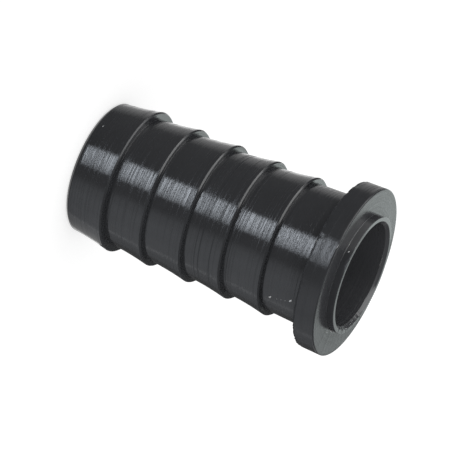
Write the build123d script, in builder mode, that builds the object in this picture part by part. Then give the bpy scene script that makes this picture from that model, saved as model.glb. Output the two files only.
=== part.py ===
from build123d import *
import os

# Hose tail for a 2 inch (50 mm) hose, one piece of plastic turned all over.
# It stands on its hose end, with its axis along Z and the flange and spigot on top.
# All sizes are in millimetres. Walls and heights of barbs are measured outwards from the bore.

# Bore from end to end
bore_radius = 19.2
mouth_chamfer = 1.1
hose_end_bore_chamfer = 0.5

# Barbs: the first is larger, and each flank is slightly hollow
root_wall = 4.7
barb_count = 5
barb_pitch = 15.75
barb_height = 2.1
first_barb_height = 2.8
flank_hollow = 0.3
crest_chamfer = 0.4

# Hose end, where the hose goes on
hose_end_wall = 5.2
hose_end_chamfer = 1.0

# Neck between the last barb and the flange
neck_length = 16.0
neck_end_wall = 5.45

# Flange, slightly smaller at its back edge
flange_wall = 12.0
flange_thickness = 8.3
flange_taper = 0.25
flange_front_chamfer = 0.5
flange_back_chamfer = 0.2

# Thin-walled spigot round the mouth
spigot_wall = 2.65
spigot_length = 2.75

# Radii and heights that follow from the sizes above
root_radius = bore_radius + root_wall
hose_end_radius = bore_radius + hose_end_wall
neck_end_radius = bore_radius + neck_end_wall
flange_radius = bore_radius + flange_wall
flange_back_radius = flange_radius - flange_taper
spigot_radius = bore_radius + spigot_wall
flange_back = barb_count * barb_pitch + neck_length
flange_front = flange_back + flange_thickness
spigot_end = flange_front + spigot_length


def crest_point(number):
    """Sharp tip of a barb in the section, counted from the hose end."""
    height = first_barb_height if number == 1 else barb_height
    return (root_radius + height, number * barb_pitch)


def corner(radius, height):
    """Corner of the section that lies at this radius and height."""
    return section.vertices().sort_by_distance((radius, height))[0]


with BuildPart() as hose_tail:
    # In the section, X is the distance from the axis and Y is the height.
    with BuildSketch(Plane.XZ) as section:
        with BuildLine():
            flank_foot = (hose_end_radius, 0)
            for number in range(1, barb_count + 1):
                crest = crest_point(number)
                root = (root_radius, number * barb_pitch)
                SagittaArc(flank_foot, crest, flank_hollow)
                Line(crest, root)
                flank_foot = root
            Polyline(
                flank_foot,
                (neck_end_radius, flange_back),
                (flange_back_radius, flange_back),
                (flange_radius, flange_front),
                (spigot_radius, flange_front),
                (spigot_radius, spigot_end),
                (bore_radius, spigot_end),
                (bore_radius, 0),
                (hose_end_radius, 0),
            )
        make_face()
        for number in range(1, barb_count + 1):
            chamfer(corner(*crest_point(number)), crest_chamfer)
        chamfer(corner(hose_end_radius, 0), hose_end_chamfer)
        chamfer(corner(bore_radius, 0), hose_end_bore_chamfer)
        chamfer(corner(flange_back_radius, flange_back), flange_back_chamfer)
        chamfer(corner(flange_radius, flange_front), flange_front_chamfer)
        chamfer(corner(bore_radius, spigot_end), mouth_chamfer)
    revolve(axis=Axis.Z)

hose_tail.part.label = "hose_tail"
os.makedirs("parts", exist_ok=True)
export_step(hose_tail.part, "parts/hose_tail.step")
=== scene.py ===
import math
import random

import bpy
from mathutils import Matrix, Vector


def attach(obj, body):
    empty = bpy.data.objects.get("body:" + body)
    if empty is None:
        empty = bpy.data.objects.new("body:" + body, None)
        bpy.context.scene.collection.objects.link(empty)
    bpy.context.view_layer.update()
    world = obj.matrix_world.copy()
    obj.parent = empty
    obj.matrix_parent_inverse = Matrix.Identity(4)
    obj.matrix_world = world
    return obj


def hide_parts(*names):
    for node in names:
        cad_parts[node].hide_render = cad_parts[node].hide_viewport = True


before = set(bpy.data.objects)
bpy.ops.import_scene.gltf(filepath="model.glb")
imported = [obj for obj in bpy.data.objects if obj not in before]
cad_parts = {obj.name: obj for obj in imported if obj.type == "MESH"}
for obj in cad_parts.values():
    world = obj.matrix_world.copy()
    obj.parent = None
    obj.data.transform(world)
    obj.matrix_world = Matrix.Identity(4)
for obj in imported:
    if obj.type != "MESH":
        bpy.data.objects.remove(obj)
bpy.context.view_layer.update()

# Hose tail for a 2 inch hose: one turned piece of black plastic, standing on its hose end.
# Sizes of the part are in millimetres and follow the CAD source, unlike the studio's, which are in metres.
# Azimuths and elevations are in degrees. Azimuth 0 is the camera's side (-Y), and positive is towards -X.
MM = 0.001

# Camera of the photograph: a long lens, above the horizon and rolled by more than a quarter turn
SENSOR_WIDTH = 36.0
LENS = 268.07
CAMERA_PLACE = (2.855, -1134.279, 445.338)
CAMERA_ELEVATION = 19.039
CAMERA_ROLL = 112.640

# Bore
BORE_RADIUS = 19.2
BORE_CHAMFER = 0.5
MOUTH_CHAMFER = 1.1

# Barbs
ROOT_RADIUS = 23.9
BARB_COUNT = 5
BARB_PITCH = 15.75
BARB_HEIGHT = 2.1
FIRST_BARB_HEIGHT = 2.8
FLANK_HOLLOW = 0.3
CREST_FACET = 0.55

# Hose end, and how much the first flank has risen at the top of its chamfer
HOSE_END_RADIUS = 24.4
HOSE_END_CHAMFER = 1.0
FIRST_RISE = 0.02

# Neck, flange and spigot
NECK_END_RADIUS = 24.65
FLANGE_BACK = 94.75
FLANGE_FRONT = 103.05
FLANGE_BACK_RADIUS = 30.93
FLANGE_RADIUS = 31.18
SPIGOT_RADIUS = 21.85
SPIGOT_END = 105.8

# Rounding of each kind of corner
ROUNDING = {
    "bore end": 0.08,
    "hose end": 0.3,
    "root": 0.06,
    "crest": 0.2,
    "neck end": 0.35,
    "flange back": 0.4,
    "flange front": 0.9,
    "spigot root": 0.2,
    "spigot end": 0.15,
    "mouth": 0.12,
    "bore start": 0.25,
}

# Azimuth steps of the lathe mesh, points along a flank, along the flange's rim and in a rounded corner
SEGMENTS = 288
FLANK_STEPS = 12
RIM_SHARES = (0.16, 0.3, 0.45, 0.6, 0.75, 0.87)
CORNER_STEPS = 5

# The most of an edge that one rounding takes up
ROUNDING_SHARE = 0.42
# Support points past a rounding: least distance, growth with its reach, most, and most of what is left
SUPPORT_LEAST = 0.03
SUPPORT_GROWTH = 0.1
SUPPORT_MOST = 0.12
SUPPORT_SHARE = 0.3

# Nicks along worn edges: ends of the azimuths, radii and heights that they cover, and their depth
WORN_EDGES = (
    ((-180, 180), (30.2, 31.3), (94.0, 95.35), 0.24),
    ((-145, -84), (19.1, 20.6), (104.3, 105.9), 0.22),
    ((-135, -70), (21.6, 23.4), (102.9, 103.4), 0.12),
)
NICK_SEED = 11
NICK_MEAN = 0.1
NICK_SPREAD = 0.5
# How far a nick also moves the edge along the axis, as a share of its depth
NICK_SLOPE = 0.5
# Nicks this near to the axis are in the mouth's edge, and are cut outwards
MOUTH_EDGE_RADIUS = 21

# Fine grooves that the tool left: height of the groove, its depth and its half width
GROOVES = (
    (52.1, 0.05, 0.20),
    (53.75, 0.10, 0.30),
    (58.4, 0.05, 0.20),
    (64.7, 0.07, 0.22),
)
# Half widths from a groove's middle: where its dull bottom ends, where its shoulder ends, and how far
# the flank's own points keep away
GROOVE_BOTTOM = 0.5
GROOVE_SHOULDER = 1.3
GROOVE_CLEAR = 2

# Slivers and flecks left by the tool: ends as (radius, height, azimuth), and thickness
SLIVERS = (
    ((24.08, 82.10, -53.5), (24.18, 82.65, -50.7), 0.95),
    ((24.44, 90.20, -47.0), (24.56, 90.90, -44.0), 1.0),
    ((24.13, 84.90, -51.4), (24.16, 85.08, -50.5), 0.24),
    ((24.22, 86.60, -49.9), (24.25, 86.80, -49.1), 0.22),
    ((24.30, 88.30, -48.8), (24.33, 88.50, -47.9), 0.26),
    ((21.86, 104.12, 14.2), (21.90, 104.40, 15.9), 0.42),
    ((23.25, 103.08, -78.8), (23.22, 103.08, -77.4), 0.34),
    ((22.10, 103.12, -96.0), (21.98, 103.15, -80.0), 0.16),
    ((21.42, 105.70, -127.7), (21.84, 105.55, -118.2), 0.16),
    ((20.33, 105.58, -110.4), (20.40, 105.60, -108.0), 0.40),
    ((19.80, 105.15, -122.0), (20.05, 105.45, -118.6), 0.22),
    ((19.45, 104.80, -128.5), (19.70, 105.05, -125.5), 0.20),
    ((20.20, 105.50, -101.0), (20.28, 105.60, -98.6), 0.24),
    ((31.10, 102.70, 9.0), (31.14, 102.95, 12.5), 0.14),
    ((30.92, 95.05, 8.6), (30.94, 95.20, 9.5), 0.18),
    ((24.62, 3.05, 32.2), (24.66, 3.30, 33.5), 0.30),
)
SLIVER_SEED = 5
SLIVER_STEPS = 8
SLIVER_SIDES = 5
SLIVER_TIP = 0.25
SLIVER_WIDTHS = (0.7, 1.0)
SLIVER_BEND = 0.05
SLIVER_TWIST = 0.25

# Regions of the material: heights, or distances from the axis, between which each one starts
BORE_WALL = (20.0, 19.3)
NECK_START = (78.5, 79.0)
RIM_START = (94.5, 95.0)
FACE_START = (102.95, 103.03)
SPIGOT_START = (103.10, 103.20)

# Noises of the tool marks: the share of the length round the part that they use, scale, detail, roughness
RINGS = (0.015, 1500.0, 1.0, 0.5)
TORN_RINGS = (0.012, 1700.0, 1.0, 0.5)
CHATTER = (0.35, 1700.0, 1.0, 0.5)

# Dull burr along the flange's back edge: heights where it ends, its ragged edge, and where it starts
BURR_END = (95.65, 96.00)
BURR_RAGGED = 0.6
BURR_START = (30.0, 30.4)

# Other noises of the plastic: scale, detail and roughness
CLOUD = (90.0, 3.0, 0.55)
GRAIN = (2400.0, 1.0, 0.5)
MOTTLE = (5200.0, 2.0, 0.6)
# Values between which most of a noise lies, and those between which rings and slivers turn torn and pale
NOISE_ENDS = (0.3, 0.7)
TORN_ENDS = (0.52, 0.64)
PALE_ENDS = (0.35, 0.65)

# Black plastic, and the paler slivers torn from it
PLASTIC_IOR = 1.46
BLACK_DARK = (0.0365, 0.0380, 0.0415, 1)
BLACK_PALE = (0.0410, 0.0425, 0.0465, 1)
SLIVER_DARK = (0.50, 0.51, 0.52, 1)
SLIVER_PALE = (0.82, 0.83, 0.84, 1)
SLIVER_ROUGHNESS = (0.40, 0.65)
SLIVER_BUMP = (0.6, 0.00005)

# Share of the torn rings that is left on the neck and flange, and of those on the face
TORN_PAST_BARBS = 0.6
TORN_PAST_RIM = 0.3

# Roughness of the plastic, and what marks and regions add to it
ROUGHNESS = (0.06, 0.09)
TORN_ROUGHNESS = 0.20
FACE_ROUGHNESS = 0.14
BORE_ROUGHNESS = 0.20
GROOVE_ROUGHNESS = 0.16
BURR_ROUGHNESS = 0.30

# Specular level of smooth and torn plastic, and the share of it that regions and marks keep
SHINE = (0.54, 0.42)
RIM_SHINE = 0.60
GROOVE_SHINE = 0.38
BURR_SHINE = 0.2

# Bump: its strength and distance, the height of rings, of chatter, and of grain before and past the neck,
# and how much stronger or weaker it all is in some regions
BUMP = (1.0, 0.00004)
RING_HEIGHT = 1.5
CHATTER_HEIGHT = 0.25
GRAIN_HEIGHT = (0.12, 0.3)
NECK_BUMP = 1.7
FACE_BUMP = 0.6
BORE_BUMP = 0.5

# Floor: its colour in the object's light, and the glow that makes it white where it is seen
FLOOR_COLOUR = (0.60, 0.60, 0.60, 1)
FLOOR_GLOW = 0.63
FLOOR_PROFILE = ((0.0001, 0), (0.2, 0), (4, 0))
FLOOR_STEPS = 180

# Cards: radius of the part where their lines start, and how much faster a reflection turns than the
# surface does; then their steps in azimuth, and the fewest that there may be
CARD_FOOT = 0.0255
CARD_TURN = 2.12
CARD_STEP = 1.5
CARD_LEAST_STEPS = 8
# Height of one layer of low cards, step in the logarithm of the distance behind slats, and the steps of a
# bent card and its height over the floor
LAYER_HEIGHT = 0.0001
SLAT_STEP = 0.03
ARC_STEPS = 8
ARC_FOOT = 0.001

# Lamps: middle of the part, height in the bore that the narrow lamps light, and their beam there
MIDDLE = 0.053
BORE_TARGET = 0.1
BEAM_RADIUS = 0.027
BEAM_BLEND = 0.3
BORE_LAMP_RADIUS = 0.02
BORE_LAMP_COLOUR = (1.0, 0.97, 0.93)


def make_camera():
    """Camera of the photograph."""
    data = bpy.data.cameras.new("photo_camera")
    data.sensor_width = SENSOR_WIDTH
    data.lens = LENS
    camera = bpy.data.objects.new("photo_camera", data)
    tilt = Matrix.Rotation(math.radians(90 - CAMERA_ELEVATION), 4, "X")
    roll = Matrix.Rotation(math.radians(CAMERA_ROLL), 4, "Z")
    place = Matrix.Translation(Vector(CAMERA_PLACE) * MM)
    camera.matrix_world = place @ tilt @ roll
    bpy.context.scene.collection.objects.link(camera)
    bpy.context.scene.camera = camera


def flank_radius(low, high, share):
    """Radius of a slightly hollow flank, at a share of the way between its low and high ends."""
    straight = low[0] + (high[0] - low[0]) * share
    return straight - FLANK_HOLLOW * 4 * share * (1 - share)


def flank(low, high):
    """Points of a flank without its ends, with the tool's grooves cut into it."""
    length = high[1] - low[1]
    heights = [low[1] + length * step / FLANK_STEPS for step in range(1, FLANK_STEPS)]
    cuts = {}
    for middle, depth, half in GROOVES:
        if low[1] < middle < high[1]:
            heights = [height for height in heights if abs(height - middle) > GROOVE_CLEAR * half]
            shoulder = GROOVE_SHOULDER * half
            heights += [middle - shoulder, middle - half, middle, middle + half, middle + shoulder]
            cuts[middle] = depth
    points = []
    for height in sorted(heights):
        radius = flank_radius(low, high, (height - low[1]) / length)
        points.append((radius - cuts.get(height, 0), height, 0))
    return points


def barb_points(foot, crest):
    """Points of one barb from the foot of its flank to the facet on its crest."""
    share = 1 - CREST_FACET / BARB_PITCH
    top = foot[1] + (crest[1] - foot[1]) * share
    points = [foot]
    points += flank(foot, crest)
    points.append((flank_radius(foot, crest, share), top, ROUNDING["crest"]))
    points.append((crest[0] - CREST_FACET, crest[1], ROUNDING["crest"]))
    return points


def rim_points():
    """Points along the flange's rim, between its two edges."""
    points = []
    for share in RIM_SHARES:
        radius = FLANGE_BACK_RADIUS + (FLANGE_RADIUS - FLANGE_BACK_RADIUS) * share
        points.append((radius, FLANGE_BACK + (FLANGE_FRONT - FLANGE_BACK) * share, 0))
    return points


def outline():
    """Closed outline of the section as (distance from the axis, height, rounding of the corner)."""
    points = [(BORE_RADIUS + BORE_CHAMFER, 0, ROUNDING["bore end"])]
    points.append((HOSE_END_RADIUS - HOSE_END_CHAMFER, 0, ROUNDING["hose end"]))
    foot = (HOSE_END_RADIUS + FIRST_RISE, HOSE_END_CHAMFER, ROUNDING["hose end"])
    for number in range(1, BARB_COUNT + 1):
        height = FIRST_BARB_HEIGHT if number == 1 else BARB_HEIGHT
        points += barb_points(foot, (ROOT_RADIUS + height, number * BARB_PITCH))
        foot = (ROOT_RADIUS, number * BARB_PITCH, ROUNDING["root"])
    points.append(foot)
    points.append((NECK_END_RADIUS, FLANGE_BACK, ROUNDING["neck end"]))
    points.append((FLANGE_BACK_RADIUS, FLANGE_BACK, ROUNDING["flange back"]))
    points += rim_points()
    points.append((FLANGE_RADIUS, FLANGE_FRONT, ROUNDING["flange front"]))
    points.append((SPIGOT_RADIUS, FLANGE_FRONT, ROUNDING["spigot root"]))
    points.append((SPIGOT_RADIUS, SPIGOT_END, ROUNDING["spigot end"]))
    points.append((BORE_RADIUS + MOUTH_CHAMFER, SPIGOT_END, ROUNDING["mouth"]))
    points.append((BORE_RADIUS, SPIGOT_END - MOUTH_CHAMFER, ROUNDING["bore start"]))
    points.append((BORE_RADIUS, BORE_CHAMFER, ROUNDING["bore end"]))
    return points


def support_point(end, edge, reach):
    """Point on an edge just past the end of a rounding, which keeps the edge flat beyond it."""
    support = min(SUPPORT_MOST, SUPPORT_GROWTH * reach + SUPPORT_LEAST)
    return end + edge.normalized() * min(support, SUPPORT_SHARE * (edge.length - reach))


def rounded_corner(here, before, after, rounding):
    """Arc that replaces a corner, between two support points on the edges that leave it."""
    half_angle = before.angle(after) / 2
    reach = rounding / math.tan(half_angle)
    reach = min(reach, ROUNDING_SHARE * before.length, ROUNDING_SHARE * after.length)
    radius = reach * math.tan(half_angle)
    start = here + before.normalized() * reach
    end = here + after.normalized() * reach
    inward = (before.normalized() + after.normalized()).normalized()
    middle = here + inward * (radius / math.sin(half_angle))
    first = start - middle
    sweep = first.angle_signed(end - middle)
    points = [support_point(start, before, reach)]
    for step in range(CORNER_STEPS + 1):
        turn = Matrix.Rotation(-sweep * step / CORNER_STEPS, 2)
        points.append(middle + turn @ first)
    points.append(support_point(end, after, reach))
    return points


def rounded(corners):
    """Outline with an arc at each corner that has a rounding."""
    points = []
    for index, (radius, height, rounding) in enumerate(corners):
        here = Vector((radius, height))
        before = Vector(corners[index - 1][:2]) - here
        after = Vector(corners[(index + 1) % len(corners)][:2]) - here
        points += rounded_corner(here, before, after, rounding) if rounding else [here]
    return points


def on_part(radius, height, azimuth):
    """Place in metres of a radius, height and azimuth."""
    angle = math.radians(azimuth)
    return Vector((-radius * math.sin(angle), -radius * math.cos(angle), height)) * MM


def nick_depths():
    """Depth of the nick at each azimuth step of each worn edge, as a share of the edge's depth."""
    numbers = random.Random(NICK_SEED)
    depths = []
    for edge in WORN_EDGES:
        depths.append([max(0.0, numbers.gauss(NICK_MEAN, NICK_SPREAD)) for step in range(SEGMENTS)])
    return depths


def worn(radius, height, azimuth, depths):
    """Radius and height of a point of the part after its nicks."""
    for (azimuths, radii, heights, depth), nicks in zip(WORN_EDGES, depths):
        inside = azimuths[0] < azimuth < azimuths[1]
        if inside and radii[0] < radius < radii[1] and heights[0] < height < heights[1]:
            step = int((azimuth + 180) / 360 * SEGMENTS) % SEGMENTS
            nick = depth * min(1.0, nicks[step])
            if radius < MOUTH_EDGE_RADIUS:
                return radius + nick, height - NICK_SLOPE * nick
            return radius - nick, height + NICK_SLOPE * nick
    return radius, height


def add_mesh(name, vertices, faces):
    """Object with this mesh, in the scene."""
    mesh = bpy.data.meshes.new(name)
    mesh.from_pydata(vertices, [], faces)
    mesh.update()
    piece = bpy.data.objects.new(name, mesh)
    bpy.context.scene.collection.objects.link(piece)
    return piece


def lathe(name, points):
    """Smooth mesh made by turning a closed outline about the Z axis, with nicks along its worn edges."""
    vertices = []
    depths = nick_depths()
    for point in points:
        for step in range(SEGMENTS):
            azimuth = (step + 0.5) * 360 / SEGMENTS - 180
            radius, height = worn(point[0], point[1], azimuth, depths)
            vertices.append(on_part(radius, height, azimuth))
    faces = []
    for ring in range(len(points)):
        here = ring * SEGMENTS
        above = (ring + 1) % len(points) * SEGMENTS
        for step in range(SEGMENTS):
            beside = (step + 1) % SEGMENTS
            faces.append((here + step, above + step, above + beside, here + beside))
    piece = add_mesh(name, vertices, faces)
    piece.data.polygons.foreach_set("use_smooth", [True] * len(faces))
    piece.data.update()
    return piece


def sliver_rings(start, end, thickness, numbers):
    """Rings of points along a thin bent sliver that narrows to its two tips."""
    rings = []
    for step in range(SLIVER_STEPS + 1):
        share = step / SLIVER_STEPS
        swell = SLIVER_TIP + (1 - SLIVER_TIP) * math.sin(math.pi * share)
        width = thickness * swell * numbers.uniform(*SLIVER_WIDTHS) / 2
        radius, height, azimuth = (a + (b - a) * share for a, b in zip(start, end))
        radius += numbers.uniform(-SLIVER_BEND, SLIVER_BEND)
        height += numbers.uniform(-SLIVER_BEND, SLIVER_BEND)
        ring = []
        for side in range(SLIVER_SIDES):
            turn = 2 * math.pi * side / SLIVER_SIDES + numbers.uniform(-SLIVER_TWIST, SLIVER_TWIST)
            ring.append(on_part(radius + width * math.cos(turn), height + width * math.sin(turn), azimuth))
        rings.append(ring)
    return rings


def sliver_faces(first):
    """Faces round a sliver and on its two tips, from the number of its first vertex."""
    faces = []
    for step in range(SLIVER_STEPS):
        here = first + step * SLIVER_SIDES
        above = here + SLIVER_SIDES
        for side in range(SLIVER_SIDES):
            beside = (side + 1) % SLIVER_SIDES
            faces.append((here + side, here + beside, above + beside, above + side))
    last = first + SLIVER_STEPS * SLIVER_SIDES
    faces.append(tuple(first + side for side in reversed(range(SLIVER_SIDES))))
    faces.append(tuple(last + side for side in range(SLIVER_SIDES)))
    return faces


def make_slivers():
    """All slivers and flecks as one mesh."""
    numbers = random.Random(SLIVER_SEED)
    vertices, faces = [], []
    for start, end, thickness in SLIVERS:
        faces += sliver_faces(len(vertices))
        for ring in sliver_rings(start, end, thickness, numbers):
            vertices += ring
    return add_mesh("slivers", vertices, faces)


class Nodes:
    """Short way to add and join the nodes of one material or world."""

    def __init__(self, owner):
        owner.use_nodes = True
        self.tree = owner.node_tree
        self.tree.nodes.clear()

    def add(self, kind, **settings):
        """New node with these settings."""
        node = self.tree.nodes.new(kind)
        for key, value in settings.items():
            setattr(node, key, value)
        return node

    def join(self, start, end):
        """Link from an output to an input."""
        self.tree.links.new(start, end)

    def finish(self, shader, kind="ShaderNodeOutputMaterial"):
        """Output node that shows this shader."""
        self.join(shader.outputs[0], self.add(kind).inputs["Surface"])

    def math(self, operation, first, second=0.0):
        """Result of a Math node on two numbers or outputs."""
        node = self.add("ShaderNodeMath", operation=operation)
        for socket, value in zip(node.inputs, (first, second)):
            if isinstance(value, (int, float)):
                socket.default_value = value
            else:
                self.join(value, socket)
        return node.outputs[0]

    def remap(self, value, ends, low, high):
        """A smooth change from low to high as the value goes from the first of its ends to the second."""
        node = self.add("ShaderNodeMapRange", interpolation_type="SMOOTHSTEP")
        self.join(value, node.inputs["Value"])
        node.inputs["From Min"].default_value = ends[0]
        node.inputs["From Max"].default_value = ends[1]
        node.inputs["To Min"].default_value = low
        node.inputs["To Max"].default_value = high
        return node.outputs["Result"]

    def added(self, value, mask, amount):
        """The value, with the amount added where the mask is 1."""
        return self.math("ADD", value, self.math("MULTIPLY", mask, amount))

    def scaled(self, value, mask, factor):
        """The value, times the factor where the mask is 1."""
        return self.math("MULTIPLY", value, self.remap(mask, (0.0, 1.0), 1.0, factor))

    def noise(self, vector, scale, detail, roughness):
        """A noise at these coordinates."""
        node = self.add("ShaderNodeTexNoise")
        self.join(vector, node.inputs["Vector"])
        node.inputs["Scale"].default_value = scale
        node.inputs["Detail"].default_value = detail
        node.inputs["Roughness"].default_value = roughness
        return node.outputs["Fac"]

    def mixed(self, factor, first, second):
        """Colour between two colours."""
        node = self.add("ShaderNodeMix", data_type="RGBA")
        self.join(factor, node.inputs["Factor"])
        node.inputs["A"].default_value = first
        node.inputs["B"].default_value = second
        return node.outputs["Result"]

    def bump(self, height, strength, distance):
        """Normal of a bumpy surface."""
        node = self.add("ShaderNodeBump")
        node.inputs["Strength"].default_value = strength
        node.inputs["Distance"].default_value = distance
        self.join(height, node.inputs["Height"])
        return node.outputs["Normal"]


def metres(ends):
    """Two sizes of the part, in metres."""
    return (ends[0] * MM, ends[1] * MM)


class Turned:
    """Places, regions and tool marks on the turned part. A region is 1 where it is and 0 elsewhere."""

    def __init__(self, n):
        self.n = n
        self.place = n.add("ShaderNodeTexCoord").outputs["Object"]
        split = n.add("ShaderNodeSeparateXYZ")
        n.join(self.place, split.inputs[0])
        self.x, self.y, self.z = split.outputs
        squares = n.math("ADD", n.math("MULTIPLY", self.x, self.x), n.math("MULTIPLY", self.y, self.y))
        self.distance = n.math("SQRT", squares)
        self.along = n.math("ADD", self.distance, self.z)
        self.chatter = self.noise_round(*CHATTER)
        self.bore = n.remap(self.distance, metres(BORE_WALL), 0.0, 1.0)
        self.past_barbs = self.past(NECK_START)
        self.past_neck = self.past(RIM_START)
        self.past_rim = self.past(FACE_START)
        self.neck = n.math("SUBTRACT", self.past_barbs, self.past_neck)
        self.rim = n.math("SUBTRACT", self.past_neck, self.past_rim)
        self.face = n.math("SUBTRACT", self.past_rim, self.past(SPIGOT_START))

    def past(self, start):
        """All of the part above a height."""
        return self.n.remap(self.z, metres(start), 0.0, 1.0)

    def noise_round(self, share, *settings):
        """Noise drawn out round the part, by using only a share of the length round it."""
        n = self.n
        node = n.add("ShaderNodeCombineXYZ")
        n.join(n.math("MULTIPLY", self.x, share), node.inputs[0])
        n.join(n.math("MULTIPLY", self.y, share), node.inputs[1])
        n.join(self.along, node.inputs[2])
        return n.noise(node.outputs[0], *settings)

    def torn(self):
        """Rings that the tool tore instead of cutting, fewer past the barbs and fewest on the face."""
        n = self.n
        torn = n.remap(self.noise_round(*TORN_RINGS), TORN_ENDS, 0.0, 1.0)
        torn = n.scaled(torn, self.past_barbs, TORN_PAST_BARBS)
        return n.scaled(torn, self.past_rim, TORN_PAST_RIM)

    def grooves(self):
        """The few deeper grooves."""
        n = self.n
        total = 0.0
        for middle, _, half in GROOVES:
            off = n.math("ABSOLUTE", n.math("SUBTRACT", self.z, middle * MM))
            ends = metres((GROOVE_BOTTOM * half, GROOVE_SHOULDER * half))
            total = n.math("ADD", total, n.remap(off, ends, 1.0, 0.0))
        return total

    def burr(self):
        """Burr along the back edge of the flange, with a ragged edge."""
        n = self.n
        ragged = n.added(self.z, self.chatter, BURR_RAGGED * MM)
        low_on_rim = n.remap(ragged, metres(BURR_END), 1.0, 0.0)
        return n.math("MULTIPLY", low_on_rim, n.remap(self.distance, metres(BURR_START), 0.0, 1.0))

    def marks(self):
        """Height of the rings, chatter and grain."""
        n = self.n
        rings = self.noise_round(*RINGS)
        grain = n.noise(self.place, *GRAIN)
        height = n.added(n.math("MULTIPLY", rings, RING_HEIGHT), self.chatter, CHATTER_HEIGHT)
        height = n.added(height, grain, n.remap(self.past_neck, (0.0, 1.0), *GRAIN_HEIGHT))
        height = n.scaled(height, self.neck, NECK_BUMP)
        height = n.scaled(height, self.past_rim, FACE_BUMP)
        return n.scaled(height, self.bore, BORE_BUMP)


def plastic():
    """Black plastic as it comes off the lathe: glossy, with fine rings left by the tool."""
    material = bpy.data.materials.new("black_plastic_turned")
    n = Nodes(material)
    part = Turned(n)
    torn = part.torn()
    grooves = part.grooves()
    burr = part.burr()

    rough = n.remap(part.chatter, NOISE_ENDS, *ROUGHNESS)
    rough = n.added(rough, torn, TORN_ROUGHNESS)
    rough = n.added(rough, part.face, FACE_ROUGHNESS)
    rough = n.added(rough, part.bore, BORE_ROUGHNESS)
    rough = n.added(rough, grooves, GROOVE_ROUGHNESS)
    rough = n.added(rough, burr, BURR_ROUGHNESS)

    shine = n.remap(torn, (0.0, 1.0), *SHINE)
    shine = n.scaled(shine, part.rim, RIM_SHINE)
    shine = n.scaled(shine, grooves, GROOVE_SHINE)
    shine = n.scaled(shine, burr, BURR_SHINE)

    cloud = n.remap(n.noise(part.place, *CLOUD), NOISE_ENDS, 0.0, 1.0)
    shader = n.add("ShaderNodeBsdfPrincipled")
    shader.inputs["IOR"].default_value = PLASTIC_IOR
    n.join(n.mixed(cloud, BLACK_DARK, BLACK_PALE), shader.inputs["Base Color"])
    n.join(rough, shader.inputs["Roughness"])
    n.join(shine, shader.inputs["Specular IOR Level"])
    n.join(n.bump(part.marks(), *BUMP), shader.inputs["Normal"])
    n.finish(shader)
    return material


def torn_plastic():
    """Paler, rougher plastic of slivers and flecks that the tool tore off."""
    material = bpy.data.materials.new("black_plastic_torn")
    n = Nodes(material)
    mottle = n.noise(n.add("ShaderNodeTexCoord").outputs["Object"], *MOTTLE)
    shader = n.add("ShaderNodeBsdfPrincipled")
    shader.inputs["IOR"].default_value = PLASTIC_IOR
    pale = n.remap(mottle, PALE_ENDS, 0.0, 1.0)
    n.join(n.mixed(pale, SLIVER_DARK, SLIVER_PALE), shader.inputs["Base Color"])
    n.join(n.remap(mottle, NOISE_ENDS, *SLIVER_ROUGHNESS), shader.inputs["Roughness"])
    n.join(n.bump(mottle, *SLIVER_BUMP), shader.inputs["Normal"])
    n.finish(shader)
    return material


def seen(n):
    """1 for a ray from the camera, a reflection or glass, and 0 for the light that falls on things."""
    path = n.add("ShaderNodeLightPath")
    either = n.math("MAXIMUM", path.outputs["Is Camera Ray"], path.outputs["Is Glossy Ray"])
    return n.math("MAXIMUM", either, path.outputs["Is Transmission Ray"])


def floor_material():
    """Pale floor, white to the camera and in reflections, that keeps the object's shadow."""
    material = bpy.data.materials.new("floor_white")
    n = Nodes(material)
    matt = n.add("ShaderNodeBsdfDiffuse")
    matt.inputs["Color"].default_value = FLOOR_COLOUR
    glow = n.add("ShaderNodeEmission")
    n.join(n.math("MULTIPLY", seen(n), FLOOR_GLOW), glow.inputs["Strength"])
    both = n.add("ShaderNodeAddShader")
    n.join(matt.outputs[0], both.inputs[0])
    n.join(glow.outputs[0], both.inputs[1])
    n.finish(both)
    return material


def turned_sheet(name, profile, steps):
    """Sheet made by turning an open profile all round the Z axis."""
    vertices, faces = [], []
    columns = len(profile)
    for step in range(steps):
        angle = 2 * math.pi * step / steps
        for radius, height in profile:
            vertices.append((radius * math.cos(angle), radius * math.sin(angle), height))
        for column in range(columns - 1):
            here = step * columns + column
            beside = (step + 1) % steps * columns + column
            faces.append((here, beside, beside + 1, here + 1))
    return add_mesh(name, vertices, faces)


def make_floor():
    """Large round floor under the part."""
    floor = turned_sheet("floor", FLOOR_PROFILE, FLOOR_STEPS)
    floor.data.materials.append(floor_material())


def make_world(level):
    """White to the camera and in reflections, and a plain even light for everything else."""
    world = bpy.data.worlds.new("studio")
    bpy.context.scene.world = world
    n = Nodes(world)
    background = n.add("ShaderNodeBackground")
    n.join(n.remap(seen(n), (0.0, 1.0), level, 1.0), background.inputs["Strength"])
    n.finish(background, "ShaderNodeOutputWorld")


def layer(number):
    """Height over the floor of a low card. A higher layer hides a lower one."""
    return number * LAYER_HEIGHT


def strip(near, far, height):
    """Level line of a narrow card from near to far."""
    return ((near, height), (far, height))


def line(near, far, height):
    """Level line of a wide card from near to far, with a point where its fan is still narrow."""
    return ((near, height), ((near + far) / 4, height), (far, height))


def slats(near, far, height):
    """Level line of a card in steps that grow with the distance, for a light behind slats."""
    steps = int(math.log(far / near) / SLAT_STEP)
    return [(near * (far / near) ** (step / steps), height) for step in range(steps + 1)]


def arc(radius, start, end):
    """Upright line of a card that bends over the part, between two elevations."""
    points = []
    for step in range(ARC_STEPS + 1):
        rise = math.radians(start + (end - start) * step / ARC_STEPS)
        points.append((radius * math.cos(rise), ARC_FOOT + radius * math.sin(rise)))
    return points


def smooth(share):
    """A share from 0 to 1, with soft ends."""
    return share * share * (3 - 2 * share)


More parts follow.
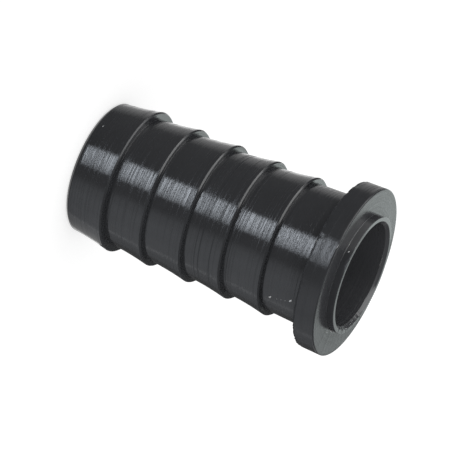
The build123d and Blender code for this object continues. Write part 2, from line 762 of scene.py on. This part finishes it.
def slat_share(length, period):
    """Share of the light that passes the slats at this distance along a line."""
    return smooth(0.5 + 0.5 * math.sin(2 * math.pi * math.log(length) / period))


def shown_at(azimuth, stops):
    """How much of a card shows at an azimuth, from stops of (azimuth, share)."""
    for (start, first), (end, last) in zip(stops, stops[1:]):
        if start <= azimuth <= end:
            return first + (last - first) * smooth((azimuth - start) / (end - start))
    return 0.0


def card_mesh(name, stops, lines, period):
    """Mesh of a card, with the share of it that shows at each point in its attribute cover."""
    vertices, cover = [], []
    first, last = stops[0][0], stops[-1][0]
    steps = max(CARD_LEAST_STEPS, int((last - first) / CARD_STEP))
    for step in range(steps + 1):
        azimuth = first + (last - first) * step / steps
        angle = math.radians(azimuth)
        foot = math.radians(max(-90.0, min(90.0, azimuth / CARD_TURN)))
        for length, height in lines:
            x = -CARD_FOOT * math.sin(foot) - length * math.sin(angle)
            y = -CARD_FOOT * math.cos(foot) - length * math.cos(angle)
            vertices.append((x, y, height))
            cover.append(shown_at(azimuth, stops) * (slat_share(length, period) if period else 1))
    faces = []
    columns = len(lines)
    for step in range(steps):
        for column in range(columns - 1):
            here = step * columns + column
            faces.append((here, here + 1, here + columns + 1, here + columns))
    sheet = add_mesh(name, vertices, faces)
    attribute = sheet.data.attributes.new("cover", "FLOAT", "POINT")
    attribute.data.foreach_set("value", cover)
    return sheet


def card_material(name, level, tint):
    """Even glow of this level, as far as the card's cover shows it."""
    material = bpy.data.materials.new(name)
    n = Nodes(material)
    share = n.add("ShaderNodeAttribute", attribute_name="cover")
    clear = n.add("ShaderNodeBsdfTransparent")
    glow = n.add("ShaderNodeEmission")
    glow.inputs["Color"].default_value = (*tint, 1)
    glow.inputs["Strength"].default_value = level
    mix = n.add("ShaderNodeMixShader")
    n.join(share.outputs["Fac"], mix.inputs["Fac"])
    n.join(clear.outputs[0], mix.inputs[1])
    n.join(glow.outputs[0], mix.inputs[2])
    n.finish(mix)
    return material


def card(name, stops, level, lines, tint=(1, 1, 1), period=0):
    """Studio card that only shows in reflections: a soft light where level is high, a black flag where low.

    Each line of the card starts where the part reflects its azimuth, and lines gives its points as
    (length, height). The stops say how much of the card shows from azimuth to azimuth.
    """
    sheet = card_mesh(name, stops, lines, period)
    sheet.data.materials.append(card_material(name, level, tint))
    sheet.visible_camera = False
    sheet.visible_diffuse = False
    sheet.visible_shadow = False


def low_cards():
    """Cards just above the floor, which the barbs reflect."""
    round_front = ((-115, 1), (114, 1), (124, 0.75), (134, 0.55), (146, 0.5), (160, 0))
    back = ((-198, 1), (-122, 1), (-112, 0))
    back_near = ((-160, 1), (-122, 1), (-112, 0))
    glow = ((150, 0), (162, 1), (182, 1))
    fill = ((-150, 0), (-135, 0.2), (-115, 0.5), (-90, 0.78), (-62, 1), (-46, 0.78), (-26, 0))
    key = ((-11, 0), (-4, 0.48), (4, 0.82), (13, 0.96), (23, 0.96), (31, 0))
    key_lines = slats(0.002, 0.7, layer(6))
    card("flag_low", round_front, level=0.15, lines=line(0.0, 0.7, layer(2)))
    card("flag_back", back, level=0.08, lines=line(0.03, 0.4, layer(4)))
    card("flag_back_near", back_near, level=0.45, lines=line(0.0, 0.03, layer(3)))
    card("glow_back", glow, level=1.2, lines=line(0.03, 0.4, layer(4)))
    card("fill_low", fill, level=0.77, lines=line(0.0, 0.7, layer(6)), tint=(0.96, 1.0, 1.06))
    card("key_low", key, level=10.9, lines=key_lines, tint=(0.93, 1.0, 1.09), period=0.40)


def high_cards():
    """Cards above the floor: a large soft light on one side, and black curtains round it."""
    side = ((26, 0), (42, 1), (104, 1), (116, 0))
    front = ((-165, 0), (-155, 1), (25, 1), (40, 0))
    back = ((118, 0), (126, 1), (155, 1), (165, 0))
    card("side_light", side, level=3.2, lines=arc(0.60, 0, 88))
    card("curtain_front", front, level=0.10, lines=arc(0.75, 0, 66))
    card("curtain_back", back, level=0.10, lines=arc(0.75, 2, 66))


def back_cards():
    """Cards behind the part: a backdrop for the flange's face, and glow and flags for the edges."""
    backdrop = ((150, 0), (163, 1), (186, 1), (200, 0))
    backdrop_top = ((140, 0), (150, 1), (205, 1), (215, 0))
    all_round = ((-180, 1), (180, 1))
    far = ((95, 0), (105, 1), (180, 1))
    glow = ((116, 0), (132, 0.5), (180, 0.5))
    upright = ((-205, 1), (-150, 1))
    veil = ((-205, 0.35), (-150, 0.35))
    card("backdrop", backdrop, level=1.22, lines=arc(0.70, 6, 28), tint=(0.95, 1.04, 1.02))
    card("backdrop_top", backdrop_top, level=0.2, lines=arc(0.72, 27, 70))
    card("ceiling", all_round, level=0.25, lines=((-0.02, 0.9), (0.25, 0.9), (0.5, 0.8)))
    card("flag_far", far, level=0.12, lines=strip(0.2325, 0.6, layer(8)))
    card("glow_high", glow, level=1.0, lines=strip(0.236, 0.33, layer(9)))
    card("flag_upright", upright, level=0.08, lines=((0.1, 0.0), (0.1, 0.06), (0.1, 0.118)))
    card("veil", veil, level=0.08, lines=((0.1, 0.118), (0.1, 0.16), (0.1, 0.2)))


def place_lamp(name, data, target, azimuth, elevation, distance):
    """Lamp object at this distance from its target, aimed at it."""
    lamp = bpy.data.objects.new(name, data)
    angle, rise = math.radians(azimuth), math.radians(elevation)
    away = Vector((-math.sin(angle) * math.cos(rise), -math.cos(angle) * math.cos(rise), math.sin(rise)))
    lamp.location = Vector(target) + away * distance
    lamp.rotation_euler = away.to_track_quat("Z", "Y").to_euler()
    bpy.context.scene.collection.objects.link(lamp)
    return lamp


def soft_lamp(name, azimuth, elevation, distance, size, power):
    """Square area lamp aimed at the middle of the part, which reflections don't show."""
    data = bpy.data.lights.new(name, "AREA")
    data.shape = "SQUARE"
    data.size = size
    data.energy = power
    lamp = place_lamp(name, data, (0, 0, MIDDLE), azimuth, elevation, distance)
    lamp.visible_camera = False
    lamp.visible_glossy = False


def bore_lamp(name, azimuth, elevation, distance, power):
    """Narrow lamp that reaches the opposite wall of the bore through the mouth."""
    data = bpy.data.lights.new(name, "SPOT")
    data.spot_size = 2 * math.atan(BEAM_RADIUS / distance)
    data.spot_blend = BEAM_BLEND
    data.shadow_soft_size = BORE_LAMP_RADIUS
    data.energy = power
    data.color = BORE_LAMP_COLOUR
    wall = BORE_RADIUS * MM
    angle = math.radians(azimuth)
    target = (wall * math.sin(angle), wall * math.cos(angle), BORE_TARGET)
    place_lamp(name, data, target, azimuth, elevation, distance)


make_camera()
bpy.context.scene.view_settings.view_transform = "Standard"

tail = lathe("hose_tail_turned", rounded(outline()))
tail.data.materials.append(plastic())
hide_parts("hose_tail")
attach(tail, "root")

slivers = make_slivers()
slivers.data.materials.append(torn_plastic())
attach(slivers, "root")

make_floor()
make_world(level=0.92)
soft_lamp("overhead", azimuth=0, elevation=76, distance=0.8, size=0.30, power=0.6)
bore_lamp("bore_lamp_left", azimuth=50, elevation=38, distance=1.2, power=16.0)
bore_lamp("bore_lamp_right", azimuth=-50, elevation=38, distance=1.2, power=16.0)
low_cards()
high_cards()
back_cards()
